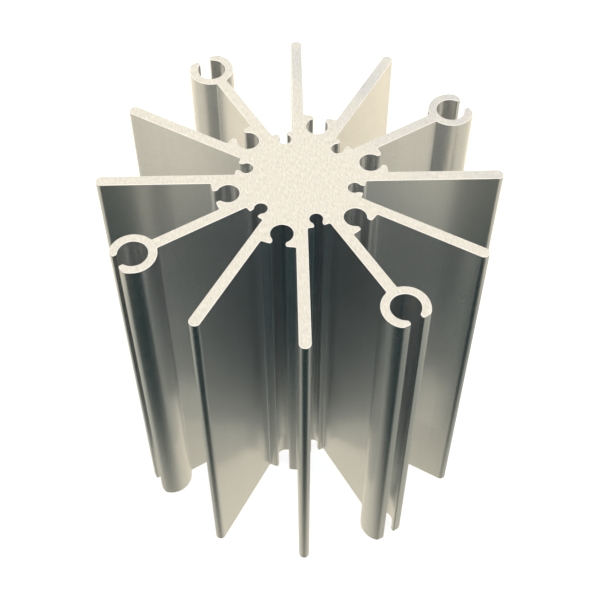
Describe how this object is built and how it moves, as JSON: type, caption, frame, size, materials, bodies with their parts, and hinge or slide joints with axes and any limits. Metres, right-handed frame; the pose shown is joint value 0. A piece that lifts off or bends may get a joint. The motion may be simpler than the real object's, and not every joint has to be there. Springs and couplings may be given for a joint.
{
  "type": "round heat sink",
  "caption": "Round star-section heat sink extruded from aluminium, with straight radial fins, split screw tubes at fin ends and keyhole screw channels round a solid core.",
  "frame": {"origin": "centre of the lower sawn face, on the axis of the extrusion", "axes": "+Z along the extrusion towards the upper sawn face, +X and +Y along the middles of two plain fins a quarter turn apart"},
  "size_m": [0.0698, 0.0698, 0.0762],
  "materials": {
    "mill_aluminium": "mill finish along the extrusion, saw cut on the two ends"
  },
  "bodies": {
    "root": {"heat_sink": "mill_aluminium"}
  },
  "joints": []
}
